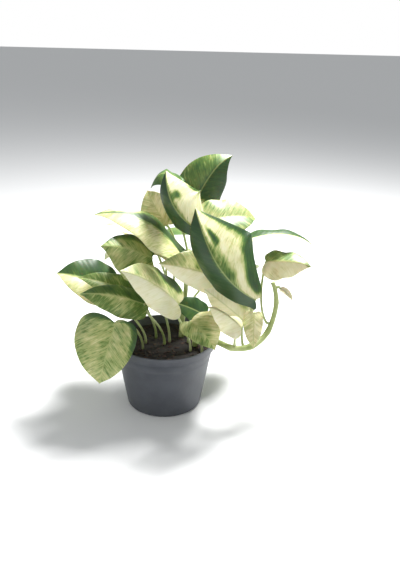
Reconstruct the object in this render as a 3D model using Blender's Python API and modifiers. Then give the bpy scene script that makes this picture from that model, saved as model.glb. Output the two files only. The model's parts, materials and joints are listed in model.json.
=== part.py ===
"""Marbled pothos in a 12 cm nursery pot.

Metres, +Z up. The origin is the centre of the pot's underside, and -Y is the plant's front.
Every leaf blade, leaf stalk and stem is a solid of its own, a hair's breadth from what carries it.
"""
import math

import bmesh
import bpy
from mathutils import Matrix, Vector

MM = 0.001
GAP = 0.3
MERGE = 0.00001

# Pot
POT_HEIGHT = 84.0
RIM_RADIUS = 60.0
RIM_DEPTH = 9.0
BODY_TOP_RADIUS = 57.0
BASE_RADIUS = 43.5
WALL = 1.3
FLOOR_THICKNESS = 2.0
RIB_DROP = 21.0
RIB_HEIGHT = 1.2
POT_STEPS = 48
HOLE_COUNT = 8
HOLE_RADIUS = 4.0
HOLE_RING = 28.0

# Soil
SOIL_TOP = 75.0
SOIL_STEPS = 36

# Leaves
BLADE = 0.8
STALK_RADIUS = 1.3
STALK_SEGMENTS = 7
STALK_STAND_OFF = 1.4
STALK_START = 2.0
BLADE_COLUMNS = 6

# Half the outline of a heart-shaped blade from the notch to the tip:
# breadth as a share of the half's width, and place along the midrib as a share of the length.
OUTLINE = [(0.0, 0.0), (0.3, -0.07), (0.66, -0.07), (0.92, 0.04), (1.0, 0.20), (0.98, 0.36),
           (0.88, 0.53), (0.68, 0.70), (0.40, 0.84), (0.13, 0.94), (0.0, 1.0)]


def leaf(name, base, tip, halves, face, bow=0.08, sway=0.0, fold=(12, 12), roll=(-25, -25), tip_curl=-0.04,
         wave=1.5, heart=1.0, rise=(1.0, 1.0), lobe=1.0):
    """One blade, in millimetres and degrees.

    base and tip are the ends of the midrib, halves are the widest left and right of it, and face is
    the way that the upper side looks. bow and sway arch the midrib, fold tilts the halves up, and roll
    bends their edges further. heart scales the lobes behind the notch, and lobe stretches them back.
    A rise under 1 moves a half's widest place towards the tip.
    """
    return dict(name=name, base=Vector(base), tip=Vector(tip), halves=halves, face=Vector(face), bow=bow,
                sway=sway, fold=fold, roll=roll, tip_curl=tip_curl, wave=wave, heart=heart,
                rise=rise, lobe=lobe)


LEAVES = [
    leaf("crown_right_leaf", (31, 37, 225), (74, 57, 289), (40, 30), (-0.5, -0.9, 0.4), sway=-0.04,
         fold=(0, -45), tip_curl=-0.1),
    leaf("crown_centre_leaf", (36, -16, 220), (1, 0, 281), (22, 46), (0.2, -0.8, 0.5), sway=-0.2,
         fold=(-65, -5), roll=(-30, -30), heart=0.2, rise=(0.7, 0.5)),
    leaf("front_big_leaf", (98, -45, 151), (33, -40, 252), (32, 64), (0.35, -0.8, 0.4), sway=-0.17,
         fold=(-60, -5), roll=(-40, -20), heart=0.0, rise=(0.65, 0.5)),
    leaf("crown_hood_leaf", (18, 26, 258), (-17, 30, 254), (21, 21), (-0.2, -0.3, 0.9), bow=0.5,
         fold=(-10, -10)),
    leaf("left_back_leaf", (1, 42, 207), (-22, 60, 243), (22, 22), (-0.3, -0.9, 0.3), wave=3),
    leaf("long_left_leaf", (17, 10, 183), (-76, 0, 234), (30, 26), (0, -0.1, 1), bow=0.15,
         fold=(-20, 14)),
    leaf("second_long_left_leaf", (3, 26, 176), (-66, 22, 216), (18, 26), (0, -0.1, 1),
         fold=(-10, 0)),
    leaf("left_mid_leaf", (-15, -5, 183), (-68, -29, 206), (34, 24), (-0.1, -0.6, 0.85), fold=(-35, 5),
         roll=(-25, -20)),
    leaf("centre_white_leaf", (15, -29, 138), (-45, -59, 190), (24, 34), (0.4, -0.5, 0.8),
         fold=(-45, 0), roll=(-20, -30), lobe=1.3),
    leaf("bright_edge_leaf", (76, -13, 158), (-6, -36, 189), (26, 30), (0.1, -0.8, 0.6), fold=(-40, 0)),
    leaf("pale_cupped_leaf", (88, -30, 119), (43, -39, 160), (18, 28), (0.1, -0.9, 0.4), fold=(-35, 0)),
    leaf("cream_trumpet_leaf", (83, -55, 122), (46, -70, 154), (18, 15), (0.1, -0.6, 0.8),
         fold=(-35, -40)),
    leaf("lower_right_leaf", (98, -45, 134), (97, -61, 100), (10, 12), (-0.2, -0.9, 0.4)),
    leaf("low_front_leaf", (29, -34, 119), (55, -63, 99), (26, 18), (0.2, -0.7, 0.6), bow=0.12),
    leaf("shaded_centre_leaf", (46, 2, 110), (9, -8, 131), (16, 16), (0, -0.7, 0.7)),
    leaf("right_blade_leaf", (99, 20, 199), (175, 30, 188), (15, 15), (0, -0.1, 1), bow=0.12),
    leaf("right_lower_leaf", (115, 5, 176), (163, -15, 179), (20, 22), (0, -0.5, 0.9), fold=(0, -45)),
    leaf("far_left_leaf", (-64, 16, 136), (-123, 10, 159), (28, 30), (-0.2, -0.6, 0.8), bow=0.1),
    leaf("left_olive_leaf", (-23, -2, 131), (-96, -12, 163), (18, 18), (-0.1, -0.6, 0.8)),
    leaf("lower_left_leaf", (-24, -25, 136), (-91, -42, 156), (22, 18), (0, -0.6, 0.8), fold=(-20, 0)),
    leaf("heart_leaf", (-53, -50, 124), (-71, -70, 60), (28, 40), (-0.1, -0.9, 0.3)),
    leaf("marbled_back_leaf", (45, 0, 226), (102, 15, 225), (26, 26), (0, -0.6, 0.8)),
    leaf("young_leaf", (131, -14, 150), (144, -18, 138), (6, 6), (0.3, -0.4, 0.9), fold=(30, 30), wave=0),
    leaf("rear_left_leaf", (-8, 46, 168), (-76, 84, 150), (37, 37), (-0.4, 0.5, 0.8)),
    leaf("rear_centre_leaf", (38, 56, 190), (38, 128, 168), (39, 39), (0, 0.5, 0.8)),
    leaf("rear_right_leaf", (62, 54, 154), (116, 100, 130), (37, 37), (0.4, 0.5, 0.8)),
]


def edge_point(blade, side, breadth, edge_share):
    """Breadth and length shares of one blade's own edge, from the plain outline's."""
    breadth = max(breadth, 0.0)
    if edge_share < 0:
        edge_share *= blade["lobe"]
    else:
        edge_share **= blade["rise"][side]
    if edge_share < 0.2:
        breadth *= 1 - (1 - blade["heart"]) * 0.6 * (1 - max(edge_share, 0.0) / 0.2)
        edge_share += (1 - blade["heart"]) * 0.08 * breadth
    return breadth, edge_share


def smooth(share):
    """Ease from 0 to 1."""
    share = min(max(share, 0.0), 1.0)
    return share * share * (3 - 2 * share)


def midrib_point(blade, share):
    """The place on the midrib at a share of its length, with its forward, right and upward directions."""
    along = blade["tip"] - blade["base"]
    length = along.length
    forward = along.normalized()
    up = (blade["face"] - blade["face"].dot(forward) * forward).normalized()
    right = forward.cross(up)
    inside = max(share, 0.0)
    arch = 4 * inside * (1 - inside)
    slope = 4 - 8 * inside
    curl = max(inside - 0.7, 0.0) / 0.3
    place = (blade["base"] + along * share
             + up * length * (blade["bow"] * arch + blade["tip_curl"] * curl ** 2)
             + right * length * blade["sway"] * arch)
    heading = (forward + up * (blade["bow"] * slope + blade["tip_curl"] * 2 * curl / 0.3)
               + right * blade["sway"] * slope).normalized()
    up = (up - up.dot(heading) * heading).normalized()
    return place, heading, heading.cross(up), up


def blade_point(blade, across, share):
    """The place on the blade at a signed distance from the midrib and a share of the length."""
    place, heading, right, up = midrib_point(blade, share)
    side = 1 if across > 0 else 0
    half = blade["halves"][side]
    spread = 0.4 + 0.6 * smooth(share / 0.3)
    steps = 6
    out, rise = 0.0, 0.0
    for step in range(steps):
        reach = abs(across) * (step + 0.5) / steps
        angle = spread * math.radians(blade["fold"][side] + blade["roll"][side] * smooth(reach / half))
        out += math.cos(angle) * abs(across) / steps
        rise += math.sin(angle) * abs(across) / steps
    ripple = math.sin(2 * math.pi * (2.2 * share + 0.35 * side))
    rise += blade["wave"] * ripple * (across / half) ** 2
    return place + right * math.copysign(out, across) + up * rise


# Stems: centre line points and radius, in millimetres
MAIN_STEM = [(20, 16, SOIL_TOP + GAP, 3.2), (21, 17, 100, 3.0), (24, 18, 130, 2.8), (25, 17, 160, 2.6),
             (27, 16, 186, 2.3)]
RUNNER = [(36, -8, SOIL_TOP + GAP, 3.4), (36, -8, 80, 3.4), (43, -13, 88.5, 3.4), (52, -20, 90.5, 3.4),
          (64, -32, 90.5, 3.4), (74, -42, 90.5, 3.4), (85, -45, 91, 3.4), (97, -43, 93, 3.6),
          (108, -36, 97, 3.3), (117, -29, 105, 3.1), (123, -23, 119, 2.9), (126, -18, 135, 2.7),
          (124, -15, 150, 2.5), (121, -13, 158, 2.3)]

# Where each leaf stalk starts: a spot on the soil, or a stem with the place along it and the side it leaves
SOIL_FEET = {
    "left_mid": (6, 2), "centre_white": (30, -20), "low_front": (43, -24),
    "shaded_centre": (28, 2), "left_olive": (-10, 12), "far_left": (-22, 0), "lower_left": (0, -4),
    "heart": (-25, -15), "bright_edge": (46, 18),
}
STEM_FEET = {
    "long_left": (MAIN_STEM, 1.6, (-1, -0.4, 0)), "second_long_left": (MAIN_STEM, 1.2, (-1, 0.1, 0)),
    "left_back": (MAIN_STEM, 2.6, (-0.3, 1, 0)), "crown_centre": (MAIN_STEM, 3.0, (0.3, -1, 0)),
    "crown_right": (MAIN_STEM, 3.4, (0.8, 0.6, 0)), "crown_hood": (MAIN_STEM, 3.8, (-0.2, 1, 0)),
    "marbled_back": (MAIN_STEM, 2.8, (1, -0.3, 0)), "rear_left": (MAIN_STEM, 1.0, (-0.6, 1, 0)),
    "rear_centre": (MAIN_STEM, 2.0, (0, 1, 0)), "rear_right": (MAIN_STEM, 1.4, (0.8, 0.8, 0)),
    "pale_cupped": (RUNNER, 6.3, (0, 1, 0.6)), "cream_trumpet": (RUNNER, 5.4, (0, -0.2, 1)),
    "front_big": (RUNNER, 7.4, (0, 1, 0.3)), "lower_right": (RUNNER, 7.9, (-0.3, 0.3, 1)),
    "right_lower": (RUNNER, 9.5, (-1, 0.3, 0.6)), "right_blade": (MAIN_STEM, 2.4, (1, 0.3, 0)),
    "young": (RUNNER, 12.2, (1, 0, 0)),
}


def on_stem(stem, place, side):
    """The foot of a stalk on a stem, and the way that it leaves."""
    first = min(int(place), len(stem) - 2)
    near, far = Vector(stem[first]), Vector(stem[first + 1])
    middle = near.lerp(far, place - first)
    along = (far - near).to_3d().normalized()
    away = Vector(side)
    away = (away - away.dot(along) * along).normalized()
    return middle.to_3d() + away * (middle.w + GAP), away


def stalk_foot(name):
    """The foot of a leaf stalk, and the way that it leaves."""
    if name in SOIL_FEET:
        x, y = SOIL_FEET[name]
        return Vector((x, y, SOIL_TOP + GAP)), Vector((0, 0, 1))
    return on_stem(*STEM_FEET[name])


def stalk_points(name, blade):
    """The centre line of a leaf stalk, from its foot to just under the blade's notch."""
    foot, leave = stalk_foot(name)
    place, heading, _, up = midrib_point(blade, 0)
    arrive = (heading * 0.6 + up * 0.8).normalized()
    end = place - arrive * STALK_STAND_OFF
    start = foot + leave * STALK_START
    pull = (end - start).length * 0.35
    first = start + (leave * 0.5 + Vector((0, 0, 0.5))) * pull
    second = end - arrive * pull
    points = [foot]
    for step in range(STALK_SEGMENTS + 1):
        t = step / STALK_SEGMENTS
        points.append((1 - t) ** 3 * start + 3 * t * (1 - t) ** 2 * first
                      + 3 * t ** 2 * (1 - t) * second + t ** 3 * end)
    return points


def material(name, colour, roughness):
    """A plain surface of one colour."""
    surface = bpy.data.materials.new(name)
    surface.use_nodes = True
    shader = surface.node_tree.nodes["Principled BSDF"]
    shader.inputs["Base Color"].default_value = (*colour, 1)
    shader.inputs["Roughness"].default_value = roughness
    shader.inputs["Metallic"].default_value = 0
    return surface


def add(name, data, surface, collection):
    """Put a mesh or curve in the scene as one named piece."""
    piece = bpy.data.objects.new(name, data)
    data.materials.append(surface)
    collection.objects.link(piece)
    return piece


def add_tube(name, points, radii, resolution, surface, collection):
    """A round stem through a list of points in millimetres."""
    curve = bpy.data.curves.new(name, "CURVE")
    curve.dimensions = "3D"
    curve.bevel_depth = MM
    curve.bevel_resolution = resolution
    curve.use_fill_caps = True
    spline = curve.splines.new("POLY")
    spline.points.add(len(points) - 1)
    for point, place, radius in zip(spline.points, points, radii):
        point.co = (*(Vector(place) * MM), 1)
        point.radius = radius
    return add(name, curve, surface, collection)


def outline_at(place):
    """Breadth and length shares at a fraction of the way along the outline's points."""
    first = min(int(place), len(OUTLINE) - 2)
    share = place - first
    return [a + (b - a) * share for a, b in zip(OUTLINE[first], OUTLINE[first + 1])]


def add_blade(name, blade, surface, collection):
    """A leaf blade: a grid laid out over the heart outline, bent into shape and given its thickness."""
    rows = len(OUTLINE) - 1
    mesh = bpy.data.meshes.new(name)
    work = bmesh.new()
    bmesh.ops.create_grid(work, x_segments=BLADE_COLUMNS, y_segments=rows, size=0.5)
    for vert in work.verts:
        column = vert.co.x * 2
        row = vert.co.y + 0.5
        side = 1 if column > 0 else 0
        breadth, edge_share = edge_point(blade, side, *outline_at(row * rows))
        share = row + (edge_share - row) * abs(column)
        vert.co = blade_point(blade, column * breadth * blade["halves"][side], share) * MM
    bmesh.ops.remove_doubles(work, verts=work.verts, dist=MERGE)
    bmesh.ops.recalc_face_normals(work, faces=work.faces)
    work.to_mesh(mesh)
    work.free()
    piece = add(name, mesh, surface, collection)
    shell = piece.modifiers.new("thickness", "SOLIDIFY")
    shell.thickness = BLADE * MM
    shell.offset = 0
    return piece


def add_turned(name, profile, steps, surface, collection):
    """A turned piece, from a profile of radius and height in millimetres that starts and ends on the axis."""
    mesh = bpy.data.meshes.new(name)
    work = bmesh.new()
    verts = [work.verts.new((radius * MM, 0, height * MM)) for radius, height in profile]
    for first, second in zip(verts, verts[1:]):
        work.edges.new((first, second))
    work.to_mesh(mesh)
    work.free()
    piece = add(name, mesh, surface, collection)
    turn = piece.modifiers.new("turn", "SCREW")
    turn.steps = steps
    turn.render_steps = steps
    turn.use_merge_vertices = True
    turn.merge_threshold = MERGE
    return piece


def body_radius(height):
    """Outer radius of the pot's tapering body."""
    return BASE_RADIUS + (BODY_TOP_RADIUS - BASE_RADIUS) * height / (POT_HEIGHT - RIM_DEPTH)


def pot_profile():
    """From the middle of the floor up the inside, over the rim, and down the outside to the middle."""
    lip = POT_HEIGHT - RIM_DEPTH
    rib = POT_HEIGHT - RIB_DROP
    corner = 2.0
    inside = [(0, FLOOR_THICKNESS), (body_radius(FLOOR_THICKNESS) - WALL - corner, FLOOR_THICKNESS),
              (body_radius(FLOOR_THICKNESS + corner) - WALL, FLOOR_THICKNESS + corner),
              (BODY_TOP_RADIUS - WALL, lip)]
    rim = [(RIM_RADIUS - WALL - 0.6, POT_HEIGHT - 1.2), (RIM_RADIUS - WALL, POT_HEIGHT),
           (RIM_RADIUS - 0.4, POT_HEIGHT), (RIM_RADIUS, POT_HEIGHT - 0.5), (RIM_RADIUS - 0.3, lip + 0.6),
           (RIM_RADIUS - 0.9, lip)]
    outside = [(BODY_TOP_RADIUS, lip), (body_radius(rib + RIB_HEIGHT), rib + RIB_HEIGHT),
               (body_radius(rib) + 0.3, rib), (body_radius(rib - RIB_HEIGHT), rib - RIB_HEIGHT),
               (body_radius(corner), corner), (BASE_RADIUS - 0.6, 0.6), (BASE_RADIUS - corner, 0), (0, 0)]
    return inside + rim + outside


def add_pot(surface, collection, cutters):
    """The thin nursery pot, with a ring of drainage holes in its floor."""
    pot = add_turned("pot", pot_profile(), POT_STEPS, surface, collection)
    mesh = bpy.data.meshes.new("drainage_holes")
    work = bmesh.new()
    for hole in range(HOLE_COUNT):
        angle = 2 * math.pi * (hole + 0.5) / HOLE_COUNT
        place = Vector((math.cos(angle) * HOLE_RING, math.sin(angle) * HOLE_RING, FLOOR_THICKNESS / 2)) * MM
        bmesh.ops.create_cone(work, cap_ends=True, segments=12, radius1=HOLE_RADIUS * MM,
                              radius2=HOLE_RADIUS * MM, depth=3 * FLOOR_THICKNESS * MM,
                              matrix=Matrix.Translation(place))
    work.to_mesh(mesh)
    work.free()
    cutter = bpy.data.objects.new("drainage_holes", mesh)
    cutter.hide_render = True
    cutter.display_type = "WIRE"
    cutters.objects.link(cutter)
    cut = pot.modifiers.new("drainage", "BOOLEAN")
    cut.operation = "DIFFERENCE"
    cut.object = cutter
    return pot


def add_soil(surface, collection):
    """The root ball, which fills the pot to a little below its rim."""
    corner = 2.5
    low = FLOOR_THICKNESS + GAP
    high = body_radius(SOIL_TOP) - WALL - GAP - 0.2
    profile = [(0, SOIL_TOP), (high - 4, SOIL_TOP), (high, SOIL_TOP - 1.5),
               (body_radius(low + corner) - WALL - GAP - 0.2, low + corner),
               (body_radius(low) - WALL - GAP - corner, low), (0, low)]
    return add_turned("soil", profile, SOIL_STEPS, surface, collection)


def build():
    """Make the whole plant."""
    for thing in list(bpy.data.objects):
        bpy.data.objects.remove(thing, do_unlink=True)
    plant = bpy.data.collections.new("potted_pothos")
    cutters = bpy.data.collections.new("cutters")
    for collection in (plant, cutters):
        bpy.context.scene.collection.children.link(collection)
    plastic = material("pot_plastic", (0.075, 0.082, 0.095), 0.5)
    peat = material("peat", (0.02, 0.013, 0.009), 0.95)
    leaf_green = material("marbled_leaf", (0.45, 0.52, 0.2), 0.4)
    stalk_green = material("stalk", (0.42, 0.52, 0.22), 0.45)
    stem_green = material("stem", (0.36, 0.45, 0.16), 0.5)
    add_pot(plastic, plant, cutters)
    add_soil(peat, plant)
    for name, stem in (("main_stem", MAIN_STEM), ("runner_stem", RUNNER)):
        add_tube(name, [point[:3] for point in stem], [point[3] for point in stem], 2, stem_green, plant)
    for blade in LEAVES:
        add_blade(blade["name"], blade, leaf_green, plant)
        name = blade["name"].removesuffix("_leaf")
        points = stalk_points(name, blade)
        add_tube(name + "_stalk", points, [STALK_RADIUS] * len(points), 1, stalk_green, plant)


build()
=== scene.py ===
"""The marbled pothos in its nursery pot, finished for looks around the CAD part."""

import json
import math
import random

import bmesh
import bpy
from mathutils import Matrix, Vector, noise

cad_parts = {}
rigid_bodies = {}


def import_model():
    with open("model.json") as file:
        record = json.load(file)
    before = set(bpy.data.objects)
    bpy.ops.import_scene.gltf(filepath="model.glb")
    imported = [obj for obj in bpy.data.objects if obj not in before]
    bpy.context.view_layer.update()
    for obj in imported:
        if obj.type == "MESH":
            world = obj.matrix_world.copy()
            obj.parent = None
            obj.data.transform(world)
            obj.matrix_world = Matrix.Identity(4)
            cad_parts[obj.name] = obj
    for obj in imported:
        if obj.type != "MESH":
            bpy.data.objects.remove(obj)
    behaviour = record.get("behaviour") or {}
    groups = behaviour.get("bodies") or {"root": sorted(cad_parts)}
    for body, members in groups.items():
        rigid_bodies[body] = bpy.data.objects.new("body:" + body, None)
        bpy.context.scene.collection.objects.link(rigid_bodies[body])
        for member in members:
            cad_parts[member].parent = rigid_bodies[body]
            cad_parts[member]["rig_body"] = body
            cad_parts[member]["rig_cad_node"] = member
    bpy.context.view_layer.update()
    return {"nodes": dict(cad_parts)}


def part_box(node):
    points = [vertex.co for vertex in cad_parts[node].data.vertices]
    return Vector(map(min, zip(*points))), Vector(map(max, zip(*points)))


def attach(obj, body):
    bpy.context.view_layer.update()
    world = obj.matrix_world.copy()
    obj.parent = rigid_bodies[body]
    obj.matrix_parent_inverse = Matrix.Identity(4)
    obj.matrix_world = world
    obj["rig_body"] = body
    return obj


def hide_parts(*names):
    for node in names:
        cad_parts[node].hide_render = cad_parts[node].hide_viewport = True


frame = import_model()

# Metres
MM = 0.001
MERGE = 0.00001

# Millimetres, in the CAD part's own frame
SOIL_TOP = 75.0
GAP = 0.3
STALK_RADIUS = 1.35
STALK_START = 2.0
STALK_SEGMENTS = 14

# Blades, in millimetres
BLADE = 0.5
BLADE_COLUMNS = 16
BLADE_ROWS = 32
VEIN_SPACING = 7.0
VEIN_SWEEP = 0.8
VEIN_SIDE_OFFSET = 40
TIP_CURL_FROM = 0.7
BEND_STEPS = 6

# Soil, in metres
SOIL_RINGS = 14
SOIL_BASE_SHARE = 0.79
SOIL_DROP = 0.0008
SOIL_EDGE = 0.004
BARK_COUNT = 260
BARK_SMALLEST, BARK_LARGEST = 0.0007, 0.0026
BARK_ROUGHNESS = 0.18

# Camera, in metres and degrees
CAMERA_PLACE = (0, -0.738, 0.452)
CAMERA_YAW, CAMERA_PITCH, CAMERA_ROLL = 3.1, 22.3, 1.6
CAMERA_LENS, CAMERA_SENSOR = 44.2, 36

# Half the outline of a heart-shaped blade from the notch to the tip:
# breadth as a share of the half's width, and place along the midrib as a share of the length.
OUTLINE = [(0.0, 0.0), (0.3, -0.07), (0.66, -0.07), (0.92, 0.04), (1.0, 0.20), (0.98, 0.36),
           (0.88, 0.53), (0.68, 0.70), (0.40, 0.84), (0.13, 0.94), (0.0, 1.0)]


def leaf(name, base, tip, halves, face, bow=0.08, sway=0.0, fold=(12, 12), roll=(-25, -25), tip_curl=-0.04,
         wave=1.5, heart=1.0, rise=(1.0, 1.0), lobe=1.0):
    """One blade, in millimetres and degrees.

    base and tip are the ends of the midrib, halves are the widest left and right of it, and face is
    the way that the upper side looks. bow and sway arch the midrib, fold tilts the halves up, and roll
    bends their edges further. heart scales the lobes behind the notch, and lobe stretches them back.
    A rise under 1 moves a half's widest place towards the tip.
    """
    return dict(name=name, base=Vector(base), tip=Vector(tip), halves=halves, face=Vector(face), bow=bow,
                sway=sway, fold=fold, roll=roll, tip_curl=tip_curl, wave=wave, heart=heart,
                rise=rise, lobe=lobe)


LEAVES = [
    leaf("crown_right_leaf", (31, 37, 225), (74, 57, 289), (40, 30), (-0.5, -0.9, 0.4), sway=-0.04,
         fold=(0, -45), tip_curl=-0.1),
    leaf("crown_centre_leaf", (36, -16, 220), (1, 0, 281), (22, 46), (0.2, -0.8, 0.5), sway=-0.2,
         fold=(-65, -5), roll=(-30, -30), heart=0.2, rise=(0.7, 0.5)),
    leaf("front_big_leaf", (98, -45, 151), (33, -40, 252), (32, 64), (0.35, -0.8, 0.4), sway=-0.17,
         fold=(-60, -5), roll=(-40, -20), heart=0.0, rise=(0.65, 0.5)),
    leaf("crown_hood_leaf", (18, 26, 258), (-17, 30, 254), (21, 21), (-0.2, -0.3, 0.9), bow=0.5,
         fold=(-10, -10)),
    leaf("left_back_leaf", (1, 42, 207), (-22, 60, 243), (22, 22), (-0.3, -0.9, 0.3), wave=3),
    leaf("long_left_leaf", (17, 10, 183), (-76, 0, 234), (30, 26), (0, -0.1, 1), bow=0.15,
         fold=(-20, 14)),
    leaf("second_long_left_leaf", (3, 26, 176), (-66, 22, 216), (18, 26), (0, -0.1, 1),
         fold=(-10, 0)),
    leaf("left_mid_leaf", (-15, -5, 183), (-68, -29, 206), (34, 24), (-0.1, -0.6, 0.85), fold=(-35, 5),
         roll=(-25, -20)),
    leaf("centre_white_leaf", (15, -29, 138), (-45, -59, 190), (24, 34), (0.4, -0.5, 0.8),
         fold=(-45, 0), roll=(-20, -30), lobe=1.3),
    leaf("bright_edge_leaf", (76, -13, 158), (-6, -36, 189), (26, 30), (0.1, -0.8, 0.6), fold=(-40, 0)),
    leaf("pale_cupped_leaf", (88, -30, 119), (43, -39, 160), (18, 28), (0.1, -0.9, 0.4), fold=(-35, 0)),
    leaf("cream_trumpet_leaf", (83, -55, 122), (46, -70, 154), (18, 15), (0.1, -0.6, 0.8),
         fold=(-35, -40)),
    leaf("lower_right_leaf", (98, -45, 134), (97, -61, 100), (10, 12), (-0.2, -0.9, 0.4)),
    leaf("low_front_leaf", (29, -34, 119), (55, -63, 99), (26, 18), (0.2, -0.7, 0.6), bow=0.12),
    leaf("shaded_centre_leaf", (46, 2, 110), (9, -8, 131), (16, 16), (0, -0.7, 0.7)),
    leaf("right_blade_leaf", (99, 20, 199), (175, 30, 188), (15, 15), (0, -0.1, 1), bow=0.12),
    leaf("right_lower_leaf", (115, 5, 176), (163, -15, 179), (20, 22), (0, -0.5, 0.9), fold=(0, -45)),
    leaf("far_left_leaf", (-64, 16, 136), (-123, 10, 159), (28, 30), (-0.2, -0.6, 0.8), bow=0.1),
    leaf("left_olive_leaf", (-23, -2, 131), (-96, -12, 163), (18, 18), (-0.1, -0.6, 0.8)),
    leaf("lower_left_leaf", (-24, -25, 136), (-91, -42, 156), (22, 18), (0, -0.6, 0.8), fold=(-20, 0)),
    leaf("heart_leaf", (-53, -50, 124), (-71, -70, 60), (28, 40), (-0.1, -0.9, 0.3)),
    leaf("marbled_back_leaf", (45, 0, 226), (102, 15, 225), (26, 26), (0, -0.6, 0.8)),
    leaf("young_leaf", (131, -14, 150), (144, -18, 138), (6, 6), (0.3, -0.4, 0.9), fold=(30, 30), wave=0),
    leaf("rear_left_leaf", (-8, 46, 168), (-76, 84, 150), (37, 37), (-0.4, 0.5, 0.8)),
    leaf("rear_centre_leaf", (38, 56, 190), (38, 128, 168), (39, 39), (0, 0.5, 0.8)),
    leaf("rear_right_leaf", (62, 54, 154), (116, 100, 130), (37, 37), (0.4, 0.5, 0.8)),
]


def edge_point(blade, side, breadth, edge_share):
    """Breadth and length shares of one blade's own edge, from the plain outline's."""
    breadth = max(breadth, 0.0)
    if edge_share < 0:
        edge_share *= blade["lobe"]
    else:
        edge_share **= blade["rise"][side]
    if edge_share < 0.2:
        breadth *= 1 - (1 - blade["heart"]) * 0.6 * (1 - max(edge_share, 0.0) / 0.2)
        edge_share += (1 - blade["heart"]) * 0.08 * breadth
    return breadth, edge_share


def smooth(share):
    """Ease from 0 to 1."""
    share = min(max(share, 0.0), 1.0)
    return share * share * (3 - 2 * share)


def midrib_point(blade, share):
    """The place on the midrib at a share of its length, with its forward, right and upward directions."""
    along = blade["tip"] - blade["base"]
    length = along.length
    forward = along.normalized()
    up = (blade["face"] - blade["face"].dot(forward) * forward).normalized()
    right = forward.cross(up)
    inside = max(share, 0.0)
    arch = 4 * inside * (1 - inside)
    slope = 4 - 8 * inside
    curl_reach = 1 - TIP_CURL_FROM
    curl = max(inside - TIP_CURL_FROM, 0.0) / curl_reach
    place = (blade["base"] + along * share
             + up * length * (blade["bow"] * arch + blade["tip_curl"] * curl ** 2)
             + right * length * blade["sway"] * arch)
    heading = (forward + up * (blade["bow"] * slope + blade["tip_curl"] * 2 * curl / curl_reach)
               + right * blade["sway"] * slope).normalized()
    up = (up - up.dot(heading) * heading).normalized()
    return place, heading, heading.cross(up), up


def blade_point(blade, across, share):
    """The place on the blade at a signed distance from the midrib and a share of the length."""
    place, heading, right, up = midrib_point(blade, share)
    side = 1 if across > 0 else 0
    half = blade["halves"][side]
    spread = 0.4 + 0.6 * smooth(share / 0.3)
    out, rise = 0.0, 0.0
    for step in range(BEND_STEPS):
        reach = abs(across) * (step + 0.5) / BEND_STEPS
        angle = spread * math.radians(blade["fold"][side] + blade["roll"][side] * smooth(reach / half))
        out += math.cos(angle) * abs(across) / BEND_STEPS
        rise += math.sin(angle) * abs(across) / BEND_STEPS
    ripple = math.sin(2 * math.pi * (2.2 * share + 0.35 * side))
    rise += blade["wave"] * ripple * (across / half) ** 2
    return place + right * math.copysign(out, across) + up * rise


# Stems: centre line points and radius, in millimetres
MAIN_STEM = [(20, 16, SOIL_TOP + GAP, 3.2), (21, 17, 100, 3.0), (24, 18, 130, 2.8), (25, 17, 160, 2.6),
             (27, 16, 186, 2.3)]
RUNNER = [(36, -8, SOIL_TOP + GAP, 3.4), (36, -8, 80, 3.4), (43, -13, 88.5, 3.4), (52, -20, 90.5, 3.4),
          (64, -32, 90.5, 3.4), (74, -42, 90.5, 3.4), (85, -45, 91, 3.4), (97, -43, 93, 3.6),
          (108, -36, 97, 3.3), (117, -29, 105, 3.1), (123, -23, 119, 2.9), (126, -18, 135, 2.7),
          (124, -15, 150, 2.5), (121, -13, 158, 2.3)]

# Where each leaf stalk starts: a spot on the soil, or a stem with the place along it and the side it leaves
SOIL_FEET = {
    "left_mid": (6, 2), "centre_white": (30, -20), "low_front": (43, -24),
    "shaded_centre": (28, 2), "left_olive": (-10, 12), "far_left": (-22, 0), "lower_left": (0, -4),
    "heart": (-25, -15), "bright_edge": (46, 18),
}
STEM_FEET = {
    "long_left": (MAIN_STEM, 1.6, (-1, -0.4, 0)), "second_long_left": (MAIN_STEM, 1.2, (-1, 0.1, 0)),
    "left_back": (MAIN_STEM, 2.6, (-0.3, 1, 0)), "crown_centre": (MAIN_STEM, 3.0, (0.3, -1, 0)),
    "crown_right": (MAIN_STEM, 3.4, (0.8, 0.6, 0)), "crown_hood": (MAIN_STEM, 3.8, (-0.2, 1, 0)),
    "marbled_back": (MAIN_STEM, 2.8, (1, -0.3, 0)), "rear_left": (MAIN_STEM, 1.0, (-0.6, 1, 0)),
    "rear_centre": (MAIN_STEM, 2.0, (0, 1, 0)), "rear_right": (MAIN_STEM, 1.4, (0.8, 0.8, 0)),
    "pale_cupped": (RUNNER, 6.3, (0, 1, 0.6)), "cream_trumpet": (RUNNER, 5.4, (0, -0.2, 1)),
    "front_big": (RUNNER, 7.4, (0, 1, 0.3)), "lower_right": (RUNNER, 7.9, (-0.3, 0.3, 1)),
    "right_lower": (RUNNER, 9.5, (-1, 0.3, 0.6)), "right_blade": (MAIN_STEM, 2.4, (1, 0.3, 0)),
    "young": (RUNNER, 12.2, (1, 0, 0)),
}


def on_stem(stem, place, side):
    """The foot of a stalk on a stem, and the way that it leaves."""
    first = min(int(place), len(stem) - 2)
    near, far = Vector(stem[first]), Vector(stem[first + 1])
    middle = near.lerp(far, place - first)
    along = (far - near).to_3d().normalized()
    away = Vector(side)
    away = (away - away.dot(along) * along).normalized()
    return middle.to_3d() + away * (middle.w + GAP), away


def stalk_foot(name):
    """The foot of a leaf stalk, and the way that it leaves."""
    if name in SOIL_FEET:
        x, y = SOIL_FEET[name]
        return Vector((x, y, SOIL_TOP + GAP)), Vector((0, 0, 1))
    return on_stem(*STEM_FEET[name])


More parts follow.
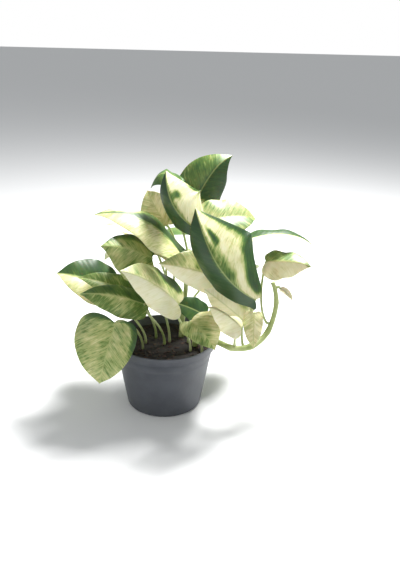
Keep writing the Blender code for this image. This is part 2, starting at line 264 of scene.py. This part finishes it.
# How each blade is marbled: the green share of its left and right halves from cream 0 to deep green 1, its
# dark flecks, and patches as (across -1 to 1, along 0 to 1, reach across, reach along, green share)
MARBLING = {
    "crown_right": ((0.62, 0.85), 0.2, [(0.5, 0.2, 0.5, 0.12, 0.2)]),
    "crown_centre": ((1.0, 0.16), 0.9, [(0.95, 0.55, 0.2, 0.25, 0.7), (0.2, 0.62, 0.12, 0.1, 0.7)]),
    "front_big": ((1.0, 0.2), 0.45, [(1.0, 0.55, 0.3, 0.5, 1.0), (0.7, 0.28, 0.25, 0.2, 0.9),
                                      (0.25, 0.72, 0.09, 0.1, 1.0), (0.12, 0.45, 0.1, 0.25, 0.55)]),
    "crown_hood": ((0.66, 0.66), 0.0, []),
    "left_back": ((0.35, 0.3), 0.8, []),
    "long_left": ((0.3, 0.8), 0.7, [(0.7, 0.75, 0.6, 0.2, 0.1)]),
    "second_long_left": ((0.2, 0.3), 0.4, []),
    "left_mid": ((0.48, 0.44), 0.5, [(1.0, 0.4, 0.45, 0.5, 1.0)]),
    "centre_white": ((0.06, 0.4), 0.6, [(0.75, 0.35, 0.3, 0.2, 1.0), (0.8, 0.1, 0.5, 0.1, 0.2)]),
    "bright_edge": ((0.1, 0.38), 0.3, [(-0.8, 0.5, 0.4, 0.6, 0.0)]),
    "pale_cupped": ((0.12, 0.1), 0.1, [(0.5, 0.35, 0.2, 0.12, 0.5)]),
    "cream_trumpet": ((0.12, 0.15), 0.3, []),
    "lower_right": ((0.3, 0.35), 0.7, []),
    "low_front": ((0.3, 0.45), 0.5, [(0.0, 0.5, 0.5, 0.3, 0.45)]),
    "shaded_centre": ((0.9, 0.9), 0.0, []),
    "right_blade": ((0.85, 0.12), 0.2, []),
    "right_lower": ((0.55, 0.15), 0.3, [(0.0, 0.95, 0.8, 0.08, 1.0)]),
    "far_left": ((0.28, 0.8), 0.6, [(0.7, 0.3, 0.6, 0.4, 1.0)]),
    "left_olive": ((0.5, 0.55), 0.3, []),
    "lower_left": ((0.55, 0.62), 0.2, [(0.0, 0.5, 0.15, 0.4, 0.35)]),
    "heart": ((0.44, 0.44), 0.9, [(0.95, 0.1, 0.3, 0.2, 0.9), (-1.0, 0.3, 0.25, 0.3, 0.9)]),
    "marbled_back": ((0.42, 0.52), 0.6, []),
    "young": ((0.1, 0.1), 0.0, []),
    "rear_left": ((0.45, 0.6), 0.4, []),
    "rear_centre": ((0.6, 0.4), 0.4, []),
    "rear_right": ((0.35, 0.55), 0.4, []),
}


def stalk_points(name, blade):
    """The centre line of a leaf stalk, from inside what carries it to the blade's notch."""
    foot, leave = stalk_foot(name)
    end, heading, _, up = midrib_point(blade, 0)
    arrive = (heading * 0.6 + up * 0.8).normalized()
    start = foot + leave * STALK_START
    pull = (end - start).length * 0.35
    first = start + (leave * 0.5 + Vector((0, 0, 0.5))) * pull
    second = end - arrive * pull
    points = [foot - leave]
    for step in range(STALK_SEGMENTS + 1):
        t = step / STALK_SEGMENTS
        points.append((1 - t) ** 3 * start + 3 * t * (1 - t) ** 2 * first
                      + 3 * t ** 2 * (1 - t) * second + t ** 3 * end)
    return points


# Scene helpers

def deselect():
    """Nothing selected, in object mode."""
    for thing in bpy.context.selected_objects:
        thing.select_set(False)


def apply_modifiers(piece):
    """Apply every modifier on a piece."""
    deselect()
    bpy.context.view_layer.objects.active = piece
    piece.select_set(True)
    for modifier in list(piece.modifiers):
        bpy.ops.object.modifier_apply(modifier=modifier.name)


def hand_in(piece, slot, nodes, *surfaces):
    """Give a finished piece its materials and its place in the record."""
    piece.data.materials.clear()
    for surface in surfaces:
        piece.data.materials.append(surface)
    for polygon in piece.data.polygons:
        polygon.use_smooth = True
    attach(piece, "root")
    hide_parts(*nodes)


def merged_copy(node, name):
    """A copy of a CAD node with its loose triangles merged."""
    piece = frame["nodes"][node].copy()
    piece.data = piece.data.copy()
    piece.name = name
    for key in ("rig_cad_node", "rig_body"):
        if key in piece:
            del piece[key]
    piece.parent = None
    bpy.context.scene.collection.objects.link(piece)
    work = bmesh.new()
    work.from_mesh(piece.data)
    bmesh.ops.remove_doubles(work, verts=work.verts, dist=MERGE)
    work.to_mesh(piece.data)
    work.free()
    return piece


# Materials

def put(tree, kind, settings=None, **inputs):
    """Add a node, set its properties, and give each named or numbered (i0, i1...) input a value or a link."""
    made = tree.nodes.new(kind)
    for key, value in (settings or {}).items():
        setattr(made, key, value)
    for key, value in inputs.items():
        numbered = key[0] == "i" and key[1:].isdigit()
        socket = made.inputs[int(key[1:]) if numbered else key.replace("_", " ")]
        if isinstance(value, bpy.types.NodeSocket):
            tree.links.new(value, socket)
        else:
            socket.default_value = value
    return made


def math_node(tree, operation, first, second=0.0, third=0.0):
    """One Math node's output."""
    return put(tree, "ShaderNodeMath", {"operation": operation}, i0=first, i1=second, i2=third).outputs[0]


def ramp(tree, value, stops):
    """A colour ramp through (place, colour) stops."""
    made = put(tree, "ShaderNodeValToRGB", i0=value)
    elements = made.color_ramp.elements
    while len(elements) < len(stops):
        elements.new(0.5)
    for element, (place, colour) in zip(elements, stops):
        element.position = place
        element.color = (*colour, 1)
    return made.outputs[0]


def mix_colour(tree, share, first, second):
    """A Mix node's colour."""
    made = tree.nodes.new("ShaderNodeMix")
    made.data_type = "RGBA"
    for socket, value in ((made.inputs[0], share), (made.inputs[6], first), (made.inputs[7], second)):
        if isinstance(value, bpy.types.NodeSocket):
            tree.links.new(value, socket)
        else:
            socket.default_value = value
    return made.outputs[2]


def new_group(name, inputs, outputs):
    """A shader node group with named sockets."""
    group = bpy.data.node_groups.new(name, "ShaderNodeTree")
    for label, kind in inputs:
        group.interface.new_socket(name=label, in_out="INPUT", socket_type="NodeSocket" + kind)
    for label, kind in outputs:
        group.interface.new_socket(name=label, in_out="OUTPUT", socket_type="NodeSocket" + kind)
    return group, group.nodes.new("NodeGroupInput"), group.nodes.new("NodeGroupOutput")


CREAM_TO_GREEN = [(0.0, (0.80, 0.78, 0.55)), (0.22, (0.70, 0.68, 0.38)), (0.36, (0.47, 0.50, 0.20)),
                  (0.47, (0.30, 0.38, 0.12)), (0.56, (0.12, 0.21, 0.04)), (0.75, (0.045, 0.11, 0.02)),
                  (1.0, (0.018, 0.06, 0.016))]


def marbling_group():
    """Cream and green streaks that follow the side veins, dark flecks and a pale midrib."""
    group, given, out = new_group("marbling", [("Paleness", "Float")],
                                  [("Colour", "Color"), ("Roughness", "Float"), ("Height", "Float")])
    vein = put(group, "ShaderNodeUVMap", {"uv_map": "vein"}).outputs[0]
    flat = put(group, "ShaderNodeUVMap", {"uv_map": "flat"}).outputs[0]
    tint = put(group, "ShaderNodeAttribute", {"attribute_name": "tint"})
    parts = put(group, "ShaderNodeSeparateColor", i0=tint.outputs["Color"])
    green, flecks, seed = parts.outputs
    shift = math_node(group, "MULTIPLY", seed, 90.0)
    streak_place = put(group, "ShaderNodeVectorMath", {"operation": "MULTIPLY"}, i0=vein, i1=(2.6, 0.45, 1))
    streak = put(group, "ShaderNodeTexNoise", {"noise_dimensions": "4D"}, Vector=streak_place.outputs[0],
                 W=shift, Scale=1.0, Detail=5.0, Roughness=0.62).outputs[0]
    blotch = put(group, "ShaderNodeTexNoise", {"noise_dimensions": "4D"}, Vector=flat, W=shift, Scale=0.55,
                 Detail=3.0, Roughness=0.55).outputs[0]
    fine = put(group, "ShaderNodeTexNoise", {"noise_dimensions": "4D"}, Vector=streak_place.outputs[0],
               W=shift, Scale=3.4, Detail=2.0, Roughness=0.5).outputs[0]
    value = math_node(group, "MULTIPLY_ADD", streak, 0.5, -0.25)
    value = math_node(group, "ADD", value, math_node(group, "MULTIPLY_ADD", blotch, 0.6, -0.3))
    value = math_node(group, "ADD", value, math_node(group, "MULTIPLY_ADD", fine, 0.5, -0.25))
    value = math_node(group, "ADD", value, green)
    colour = ramp(group, value, CREAM_TO_GREEN)
    level = math_node(group, "MULTIPLY_ADD", flecks, -0.16, 0.82)
    above = math_node(group, "SUBTRACT", fine, level)
    spots = put(group, "ShaderNodeMapRange", i0=above, i1=0.0, i2=0.05).outputs[0]
    colour = mix_colour(group, math_node(group, "MULTIPLY", spots, 0.8), colour, (0.11, 0.17, 0.05, 1))
    spread = put(group, "ShaderNodeSeparateXYZ", i0=flat).outputs[0]
    rib = put(group, "ShaderNodeMapRange", i0=math_node(group, "ABSOLUTE", spread), i1=0.03, i2=0.11, i3=0.55,
              i4=0.0).outputs[0]
    colour = mix_colour(group, rib, colour, (0.42, 0.48, 0.18, 1))
    colour = mix_colour(group, given.outputs["Paleness"], colour, (0.50, 0.55, 0.32, 1))
    along = put(group, "ShaderNodeSeparateXYZ", i0=vein).outputs[0]
    ridges = math_node(group, "SINE", math_node(group, "MULTIPLY", along, 2 * math.pi * 10 / VEIN_SPACING))
    height = math_node(group, "MULTIPLY_ADD", ridges, 0.25, math_node(group, "MULTIPLY", fine, 0.5))
    rough = math_node(group, "MULTIPLY_ADD", blotch, 0.25, 0.28)
    for label, socket in (("Colour", colour), ("Roughness", rough), ("Height", height)):
        group.links.new(socket, out.inputs[label])
    return group


def shader_material(name):
    """A material, its node tree and its Principled BSDF."""
    surface = bpy.data.materials.new(name)
    surface.use_nodes = True
    return surface, surface.node_tree, surface.node_tree.nodes["Principled BSDF"]


def blade_material(name, group, paleness, roughness_lift):
    """One side of a leaf blade."""
    surface, tree, shader = shader_material(name)
    marbling = put(tree, "ShaderNodeGroup", {"node_tree": group}, Paleness=paleness)
    tree.links.new(marbling.outputs["Colour"], shader.inputs["Base Color"])
    roughness = math_node(tree, "ADD", marbling.outputs["Roughness"], roughness_lift)
    tree.links.new(roughness, shader.inputs["Roughness"])
    bump = put(tree, "ShaderNodeBump", Strength=0.3, Distance=0.0004, Height=marbling.outputs["Height"])
    tree.links.new(bump.outputs[0], shader.inputs["Normal"])
    shader.inputs["Subsurface Weight"].default_value = 0.12
    shader.inputs["Subsurface Scale"].default_value = 0.002
    return surface


def skin_material(name, low, high, scale, roughness, bump_height, bump_scale, stretch=(1, 1, 1)):
    """A surface mottled between two colours, with fine relief."""
    surface, tree, shader = shader_material(name)
    place = put(tree, "ShaderNodeTexCoord").outputs["Object"]
    place = put(tree, "ShaderNodeMapping", i0=place, i3=stretch).outputs[0]
    mottle = put(tree, "ShaderNodeTexNoise", Vector=place, Scale=scale, Detail=5.0, Roughness=0.6).outputs[0]
    tree.links.new(ramp(tree, mottle, [(0.35, low), (0.65, high)]), shader.inputs["Base Color"])
    tree.links.new(math_node(tree, "MULTIPLY_ADD", mottle, 0.2, roughness - 0.1), shader.inputs["Roughness"])
    grain = put(tree, "ShaderNodeTexNoise", Vector=place, Scale=bump_scale, Detail=4.0).outputs[0]
    bump = put(tree, "ShaderNodeBump", Strength=0.4, Distance=bump_height, Height=grain)
    tree.links.new(bump.outputs[0], shader.inputs["Normal"])
    return surface


# Pieces

def spline(before, near, far, after, t):
    """The smooth curve between near and far, shaped by the points on each side of them."""
    return 0.5 * (2 * near + (far - before) * t + (2 * before - 5 * near + 4 * far - after) * t ** 2
                  + (3 * near - before - 3 * far + after) * t ** 3)


def outline_at(place):
    """Breadth and length shares at a fraction of the way along the outline's points, smoothly joined."""
    last = len(OUTLINE) - 1
    first = min(int(place), last - 1)
    around = [OUTLINE[min(max(first + k, 0), last)] for k in (-1, 0, 1, 2)]
    return [spline(*shares, place - first) for shares in zip(*around)]


def green_share(marks, across, along):
    """How green a blade is at one place, before its streaks."""
    halves, _, patches = marks
    share = halves[1] + (halves[0] - halves[1]) * smooth(0.5 - across * 12)
    for centre_across, centre_along, reach_across, reach_along, value in patches:
        off = math.hypot((across - centre_across) / reach_across, (along - centre_along) / reach_along)
        share += (value - share) * smooth(1.6 - 1.4 * off)
    return share


def make_blade(blade, surfaces):
    """A leaf blade: a fine grid laid over the heart outline, bent, marbled and thickened."""
    name = blade["name"].removesuffix("_leaf")
    marks = MARBLING[name]
    seed = random.Random(name).random()
    deselect()
    bpy.ops.mesh.primitive_grid_add(x_subdivisions=BLADE_COLUMNS, y_subdivisions=BLADE_ROWS, size=1,
                                    calc_uvs=False)
    piece = bpy.context.object
    piece.name = name + "_blade"
    mesh = piece.data
    length = (blade["tip"] - blade["base"]).length
    for layer in ("vein", "flat"):
        mesh.uv_layers.new(name=layer)
    mesh.attributes.new("tint", "FLOAT_COLOR", "CORNER")
    vein, flat, tint = mesh.uv_layers["vein"], mesh.uv_layers["flat"], mesh.attributes["tint"]
    shaped = {}
    for vert in mesh.vertices:
        column, row = vert.co.x * 2, vert.co.y + 0.5
        side = 1 if column > 0 else 0
        breadth, edge_share = edge_point(blade, side, *outline_at(row * (len(OUTLINE) - 1)))
        share = row + (edge_share - row) * abs(column)
        across = column * breadth * blade["halves"][side]
        place = blade_point(blade, across, share)
        origin = (share * length - abs(across) * VEIN_SWEEP) / 10
        shaped[vert.index] = (place * MM, column, row, across / 10, share * length / 10, origin)
    for polygon in mesh.polygons:
        side = sum(shaped[index][1] for index in polygon.vertices) > 0
        for loop in polygon.loop_indices:
            _, column, row, across, along, origin = shaped[mesh.loops[loop].vertex_index]
            vein.data[loop].uv = (origin + VEIN_SIDE_OFFSET * side, abs(across))
            flat.data[loop].uv = (across, along)
            tint.data[loop].color = (green_share(marks, column, row), marks[1], seed, 1)
    for vert in mesh.vertices:
        vert.co = shaped[vert.index][0]
    work = bmesh.new()
    work.from_mesh(mesh)
    bmesh.ops.remove_doubles(work, verts=work.verts, dist=MERGE)
    work.to_mesh(mesh)
    work.free()
    piece.location = (0, 0, 0)
    shell = piece.modifiers.new("thickness", "SOLIDIFY")
    shell.thickness = BLADE * MM
    shell.offset = 0
    shell.material_offset = 1
    for surface in surfaces:
        mesh.materials.append(surface)
    soft = piece.modifiers.new("soft", "SUBSURF")
    soft.levels = soft.render_levels = 1
    apply_modifiers(piece)
    for polygon in piece.data.polygons:
        polygon.use_smooth = True
    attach(piece, "root")
    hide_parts(blade["name"])


def make_tube(name, points, radii, resolution, slot, nodes, surface):
    """A round stem through its centre line, as a mesh."""
    curve = bpy.data.curves.new(name, "CURVE")
    curve.dimensions = "3D"
    curve.bevel_depth = MM
    curve.bevel_resolution = resolution
    curve.use_fill_caps = True
    spline = curve.splines.new("POLY")
    spline.points.add(len(points) - 1)
    for point, place, radius in zip(spline.points, points, radii):
        point.co = (*(Vector(place) * MM), 1)
        point.radius = radius
    piece = bpy.data.objects.new(name, curve)
    bpy.context.scene.collection.objects.link(piece)
    deselect()
    bpy.context.view_layer.objects.active = piece
    piece.select_set(True)
    bpy.ops.object.convert(target="MESH")
    piece = bpy.context.object
    work = bmesh.new()
    work.from_mesh(piece.data)
    bmesh.ops.remove_doubles(work, verts=work.verts, dist=MERGE)
    bmesh.ops.recalc_face_normals(work, faces=work.faces)
    work.to_mesh(piece.data)
    work.free()
    hand_in(piece, slot, nodes, surface)


def make_stalk(blade, surface):
    """A leaf stalk, a little thicker at its foot and at the bend under the blade."""
    name = blade["name"].removesuffix("_leaf")
    points = stalk_points(name, blade)
    last = len(points) - 1
    radii = [STALK_RADIUS * (1 + 0.25 * (1 - smooth(i / 3)) + 0.15 * smooth((i - last + 3) / 3))
             for i in range(last + 1)]
    make_tube(name + "_petiole", points, radii, 4, "stalk", [name + "_stalk"], surface)


def rounded_line(stem, between):
    """A stem's centre line and radius with smooth bends between its points."""
    line = []
    for first in range(len(stem) - 1):
        quad = [Vector(stem[min(max(first + k, 0), len(stem) - 1)]) for k in (-1, 0, 1, 2)]
        for step in range(between):
            line.append(spline(*quad, step / between))
    return line + [Vector(stem[-1])]


def make_stem(name, node, stem, surface):
    """A stem with swollen nodes where its stalks leave."""
    line = rounded_line(stem, 5)
    radii = [point.w * (1 + 0.14 * math.exp(-((i % 10 - 5) / 1.2) ** 2)) for i, point in enumerate(line)]
    make_tube(name, [point.to_3d() for point in line], radii, 5, "stem", [node], surface)


def make_pot(surface):
    """The pot, smooth round its turned walls."""
    piece = merged_copy("pot", "nursery_pot")
    piece.data.materials.clear()
    piece.data.materials.append(surface)
    deselect()
    bpy.context.view_layer.objects.active = piece
    piece.select_set(True)
    bpy.ops.object.shade_smooth_by_angle(angle=math.radians(28))
    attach(piece, "root")
    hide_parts("pot")


def make_soil(surface, bark):
    """The peat, with an uneven crumbly top, and bits of bark lying on it."""
    low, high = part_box("soil")
    radius = (high.x - low.x) / 2
    deselect()
    bpy.ops.mesh.primitive_cylinder_add(vertices=64, radius=radius, depth=high.z - low.z,
                                        location=(0, 0, (high.z + low.z) / 2))
    piece = bpy.context.object
    piece.name = "peat"
    bpy.ops.object.transform_apply(location=True, rotation=True, scale=True)
    top = high.z
    work = bmesh.new()
    work.from_mesh(piece.data)
    face = [f for f in work.faces if f.normal.z > 0.9]
    for _ in range(SOIL_RINGS):
        bmesh.ops.inset_region(work, faces=face, thickness=radius / (SOIL_RINGS + 1))
    bmesh.ops.poke(work, faces=face)
    for vert in work.verts:
        if vert.co.z > top - 0.0001:
            spot = vert.co / MM
            edge = smooth((radius - vert.co.to_2d().length) / SOIL_EDGE)
            lumps = 0.0011 * edge * noise.noise(spot / 9)
            crumbs = 0.0006 * edge * noise.noise(spot / 3)
            vert.co.z += lumps + crumbs - SOIL_DROP
        elif vert.co.z < low.z + 0.0001:
            vert.co.x *= SOIL_BASE_SHARE
            vert.co.y *= SOIL_BASE_SHARE
    work.to_mesh(piece.data)
    work.free()
    hand_in(piece, "peat", ["soil"], surface)
    draw = random.Random(7)
    chips = bmesh.new()
    for _ in range(BARK_COUNT):
        angle, reach = draw.uniform(0, 2 * math.pi), math.sqrt(draw.random()) * (radius - SOIL_EDGE)
        size = draw.uniform(BARK_SMALLEST, BARK_LARGEST)
        spot = Matrix.Translation((math.cos(angle) * reach, math.sin(angle) * reach, top - 0.0006))
        turn = Matrix.Rotation(draw.uniform(0, 6), 4, "Z") @ Matrix.Rotation(draw.uniform(-0.5, 0.5), 4, "X")
        shape = Matrix.Diagonal((size * draw.uniform(1, 2.4), size, size * draw.uniform(0.35, 0.7), 1))
        made = bmesh.ops.create_icosphere(chips, subdivisions=1, radius=0.8, matrix=spot @ turn @ shape)
        for vert in made["verts"]:
            push = Vector((draw.uniform(-1, 1), draw.uniform(-1, 1), draw.uniform(-1, 1)))
            vert.co += push * size * BARK_ROUGHNESS
    mesh = bpy.data.meshes.new("bark_bits")
    chips.to_mesh(mesh)
    chips.free()
    bits = bpy.data.objects.new("bark_bits", mesh)
    bpy.context.scene.collection.objects.link(bits)
    bits.data.materials.append(bark)
    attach(bits, "root")


def make_floor():
    """A plain pale floor."""
    surface, _, shader = shader_material("pale_floor")
    shader.inputs["Base Color"].default_value = (0.93, 0.93, 0.93, 1)
    shader.inputs["Roughness"].default_value = 0.9
    deselect()
    bpy.ops.mesh.primitive_plane_add(size=12, location=(0, 0, 0))
    floor = bpy.context.object
    floor.name = "floor"
    floor.data.materials.append(surface)


def make_world():
    """A soft even light from all round, seen as plain white."""
    world = bpy.data.worlds.new("studio")
    world.use_nodes = True
    tree = world.node_tree
    light = tree.nodes["Background"]
    light.inputs["Color"].default_value = (0.95, 0.98, 1, 1)
    light.inputs["Strength"].default_value = 0.42
    seen = put(tree, "ShaderNodeBackground", Color=(1, 1, 1, 1), Strength=1.0)
    direct = put(tree, "ShaderNodeLightPath").outputs["Is Camera Ray"]
    choose = put(tree, "ShaderNodeMixShader", i0=direct, i1=light.outputs[0], i2=seen.outputs[0])
    tree.links.new(choose.outputs[0], tree.nodes["World Output"].inputs[0])
    bpy.context.scene.world = world


def make_light(name, place, aim, size, power):
    """A square soft light."""
    data = bpy.data.lights.new(name, "AREA")
    data.size = size
    data.energy = power
    lamp = bpy.data.objects.new(name, data)
    bpy.context.scene.collection.objects.link(lamp)
    lamp.location = place
    lamp.rotation_euler = (Vector(aim) - Vector(place)).to_track_quat("-Z", "Y").to_euler()


def make_camera():
    """The camera, a little above the plant and looking down on it."""
    yaw, pitch, roll = (math.radians(angle) for angle in (CAMERA_YAW, CAMERA_PITCH, CAMERA_ROLL))
    forward = Vector((math.sin(yaw) * math.cos(pitch), math.cos(yaw) * math.cos(pitch), -math.sin(pitch)))
    level = Vector((math.cos(yaw), -math.sin(yaw), 0))
    over = level.cross(forward)
    right = level * math.cos(roll) + over * math.sin(roll)
    up = over * math.cos(roll) - level * math.sin(roll)
    data = bpy.data.cameras.new("camera")
    data.lens = CAMERA_LENS
    data.sensor_width = CAMERA_SENSOR
    camera = bpy.data.objects.new("camera", data)
    bpy.context.scene.collection.objects.link(camera)
    turn = Matrix((right, up, -forward)).transposed().to_4x4()
    camera.matrix_world = Matrix.Translation(CAMERA_PLACE) @ turn
    bpy.context.scene.camera = camera


marbling = marbling_group()
upper = blade_material("blade_upper", marbling, 0.0, 0.0)
under = blade_material("blade_underside", marbling, 0.45, 0.2)
stalk_skin = skin_material("stalk_skin", (0.36, 0.44, 0.16), (0.62, 0.66, 0.36), 60, 0.42, 0.0002, 900,
                           (1, 1, 0.25))
stem_skin = skin_material("stem_skin", (0.28, 0.36, 0.10), (0.52, 0.58, 0.26), 45, 0.45, 0.0003, 700)
pot_skin = skin_material("pot_skin", (0.060, 0.066, 0.078), (0.085, 0.093, 0.108), 35, 0.48, 0.0001, 2500)
# Dark peat, with its colour pushed near black to paint the deep shade under the leaves as well.
peat_with_painted_shade_skin = skin_material("peat_with_painted_shade_skin", (0.003, 0.002, 0.0015), (0.016, 0.011, 0.008), 260, 0.95, 0.0012, 500)
bark_skin = skin_material("bark_skin", (0.006, 0.004, 0.003), (0.05, 0.024, 0.014), 120, 0.9, 0.0005, 900)
for one in LEAVES:
    make_blade(one, (upper, under))
    make_stalk(one, stalk_skin)
make_stem("climbing_stem", "main_stem", MAIN_STEM, stem_skin)
make_stem("trailing_stem", "runner_stem", RUNNER, stem_skin)
make_pot(pot_skin)
make_soil(peat_with_painted_shade_skin, bark_skin)
make_floor()
make_world()
make_light("key", (0.3, 0.35, 1.0), (0, 0, 0.15), 0.25, 24)
make_light("fill", (-0.8, -0.9, 0.9), (0, 0, 0.15), 0.8, 3)
make_camera()
bpy.context.scene.view_settings.view_transform = "Standard"
